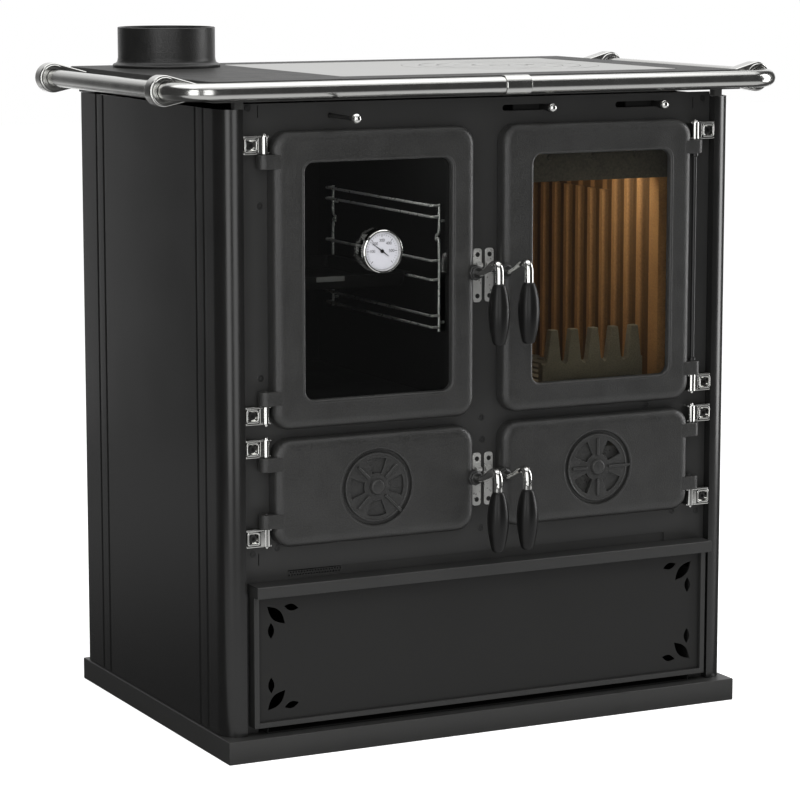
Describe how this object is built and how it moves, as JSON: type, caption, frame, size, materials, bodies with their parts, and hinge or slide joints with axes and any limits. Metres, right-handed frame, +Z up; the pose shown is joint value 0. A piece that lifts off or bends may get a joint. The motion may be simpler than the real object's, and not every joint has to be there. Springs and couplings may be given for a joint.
{
  "type": "wood cookstove",
  "caption": "Free-standing wood-fired kitchen stove with glazed oven and fire doors, lower air doors, ringed hob, flue collar, towel rail and wood drawer.",
  "frame": {"origin": "on the floor, at the centre of the plinth in plan", "axes": "+Z up, +X to the right seen from the front, -Y towards the person in front; the doors face -Y"},
  "size_m": [0.9036, 0.5835, 0.914],
  "materials": {
    "paint": "satin black stove paint",
    "cast": "matt black cast iron",
    "hob_steel": "satin ground steel",
    "chrome": "polished",
    "rail_steel": "polished tube",
    "zinc": "zinc-plated steel",
    "grip": "black, glossy",
    "glass": "clear heat-proof glass",
    "enamel": "dark enamel",
    "firebrick": "burnt brown",
    "dial": "white dial in a polished case"
  },
  "bodies": {
    "stove": {"plinth": "paint", "casing_left": "paint", "casing_right": "paint", "rear_panel": "paint", "front_plate": "paint", "lower_liner": "paint", "cooktop_frame": "cast", "flue_collar": "cast", "fire_grate": "cast", "log_fence": "cast", "baffle_plate": "cast", "hob_plate": "hob_steel", "rail_left": "rail_steel", "rail_right": "rail_steel", "rail_bracket_front_left": "rail_steel", "rail_bracket_front_right": "rail_steel", "rail_bracket_rear_left": "rail_steel", "rail_bracket_rear_right": "rail_steel", "hinge_upper_left_top": "chrome", "hinge_upper_left_bottom": "chrome", "hinge_upper_right_top": "chrome", "hinge_upper_right_bottom": "chrome", "hinge_lower_left_top": "chrome", "hinge_lower_left_bottom": "chrome", "hinge_lower_right_top": "chrome", "hinge_lower_right_bottom": "chrome", "catch_upper_left": "zinc", "catch_upper_right": "zinc", "catch_lower_left": "zinc", "catch_lower_right": "zinc", "oven_rack_left": "zinc", "oven_rack_right": "zinc", "oven_liner": "enamel", "firebox_lining": "firebrick"},
    "oven_door": {"oven_door": "cast", "oven_glass": "glass", "thermometer_case": "dial"},
    "fire_door": {"fire_door": "cast", "fire_glass": "glass"},
    "lower_left_door": {"lower_left_door": "cast"},
    "ash_door": {"ash_door": "cast"},
    "handle_upper_left": {"handle_rod_upper_left": "chrome", "handle_grip_upper_left": "grip"},
    "handle_upper_right": {"handle_rod_upper_right": "chrome", "handle_grip_upper_right": "grip"},
    "handle_lower_left": {"handle_rod_lower_left": "chrome", "handle_grip_lower_left": "grip"},
    "handle_lower_right": {"handle_rod_lower_right": "chrome", "handle_grip_lower_right": "grip"},
    "air_disc_left": {"air_disc_left": "cast"},
    "air_disc_right": {"air_disc_right": "cast"},
    "damper_rod": {"damper_rod": "chrome"},
    "air_slide_left": {"air_slide_left": "chrome"},
    "air_slide_right": {"air_slide_right": "chrome"},
    "wood_drawer": {"wood_drawer": "paint"},
    "hob_ring": {"hob_ring": "hob_steel"},
    "hob_lid": {"hob_lid": "hob_steel"},
    "thermometer_needle": {"thermometer_needle": "grip"},
    "oven_tray": {"oven_tray": "enamel"},
    "ash_pan": {"ash_pan": "zinc"}
  },
  "joints": [
    {"name": "oven_door_hinge", "type": "hinge", "parent": "stove", "child": "oven_door", "pos_m": [-0.314, -0.238, 0.6], "axis": [0, 0, -1], "range_deg": [0, 110]},
    {"name": "fire_door_hinge", "type": "hinge", "parent": "stove", "child": "fire_door", "pos_m": [0.314, -0.238, 0.6], "axis": [0, 0, 1], "range_deg": [0, 110]},
    {"name": "lower_left_door_hinge", "type": "hinge", "parent": "stove", "child": "lower_left_door", "pos_m": [-0.314, -0.238, 0.34], "axis": [0, 0, -1], "range_deg": [0, 110]},
    {"name": "ash_door_hinge", "type": "hinge", "parent": "stove", "child": "ash_door", "pos_m": [0.314, -0.238, 0.34], "axis": [0, 0, 1], "range_deg": [0, 110]},
    {"name": "handle_upper_left_turn", "type": "hinge", "parent": "oven_door", "child": "handle_upper_left", "pos_m": [-0.0215, -0.252, 0.608], "axis": [0, 1, 0], "range_deg": [0, 75]},
    {"name": "handle_upper_right_turn", "type": "hinge", "parent": "fire_door", "child": "handle_upper_right", "pos_m": [0.0215, -0.252, 0.608], "axis": [0, -1, 0], "range_deg": [0, 75]},
    {"name": "handle_lower_left_turn", "type": "hinge", "parent": "lower_left_door", "child": "handle_lower_left", "pos_m": [-0.0215, -0.252, 0.34], "axis": [0, 1, 0], "range_deg": [0, 75]},
    {"name": "handle_lower_right_turn", "type": "hinge", "parent": "ash_door", "child": "handle_lower_right", "pos_m": [0.0215, -0.252, 0.34], "axis": [0, -1, 0], "range_deg": [0, 75]},
    {"name": "air_disc_left_turn", "type": "hinge", "parent": "lower_left_door", "child": "air_disc_left", "pos_m": [-0.163, -0.244, 0.3395], "axis": [0, -1, 0], "range_deg": [0, 45]},
    {"name": "air_disc_right_turn", "type": "hinge", "parent": "ash_door", "child": "air_disc_right", "pos_m": [0.163, -0.244, 0.3395], "axis": [0, -1, 0], "range_deg": [-45, 0]},
    {"name": "damper_push", "type": "slide", "parent": "stove", "child": "damper_rod", "axis": [0, 1, 0], "range_m": [0, 0.055]},
    {"name": "air_slide_left_slide", "type": "slide", "parent": "stove", "child": "air_slide_left", "axis": [1, 0, 0], "range_m": [-0.055, 0]},
    {"name": "air_slide_right_slide", "type": "slide", "parent": "stove", "child": "air_slide_right", "axis": [1, 0, 0], "range_m": [-0.055, 0]},
    {"name": "wood_drawer_slide", "type": "slide", "parent": "stove", "child": "wood_drawer", "axis": [0, -1, 0], "range_m": [0, 0.35]},
    {"name": "hob_ring_lift", "type": "slide", "parent": "stove", "child": "hob_ring", "axis": [0, 0, 1], "range_m": [0, 0.06]},
    {"name": "hob_lid_lift", "type": "slide", "parent": "hob_ring", "child": "hob_lid", "axis": [0, 0, 1], "range_m": [0, 0.06]},
    {"name": "thermometer_needle_turn", "type": "hinge", "parent": "oven_door", "child": "thermometer_needle", "pos_m": [-0.1555, -0.25, 0.642], "axis": [0, -1, 0], "range_deg": [-189, 81]},
    {"name": "oven_tray_slide", "type": "slide", "parent": "stove", "child": "oven_tray", "axis": [0, -1, 0], "range_m": [0, 0.085]},
    {"name": "ash_pan_slide", "type": "slide", "parent": "stove", "child": "ash_pan", "axis": [0, -1, 0], "range_m": [0, 0.02]}
  ]
}
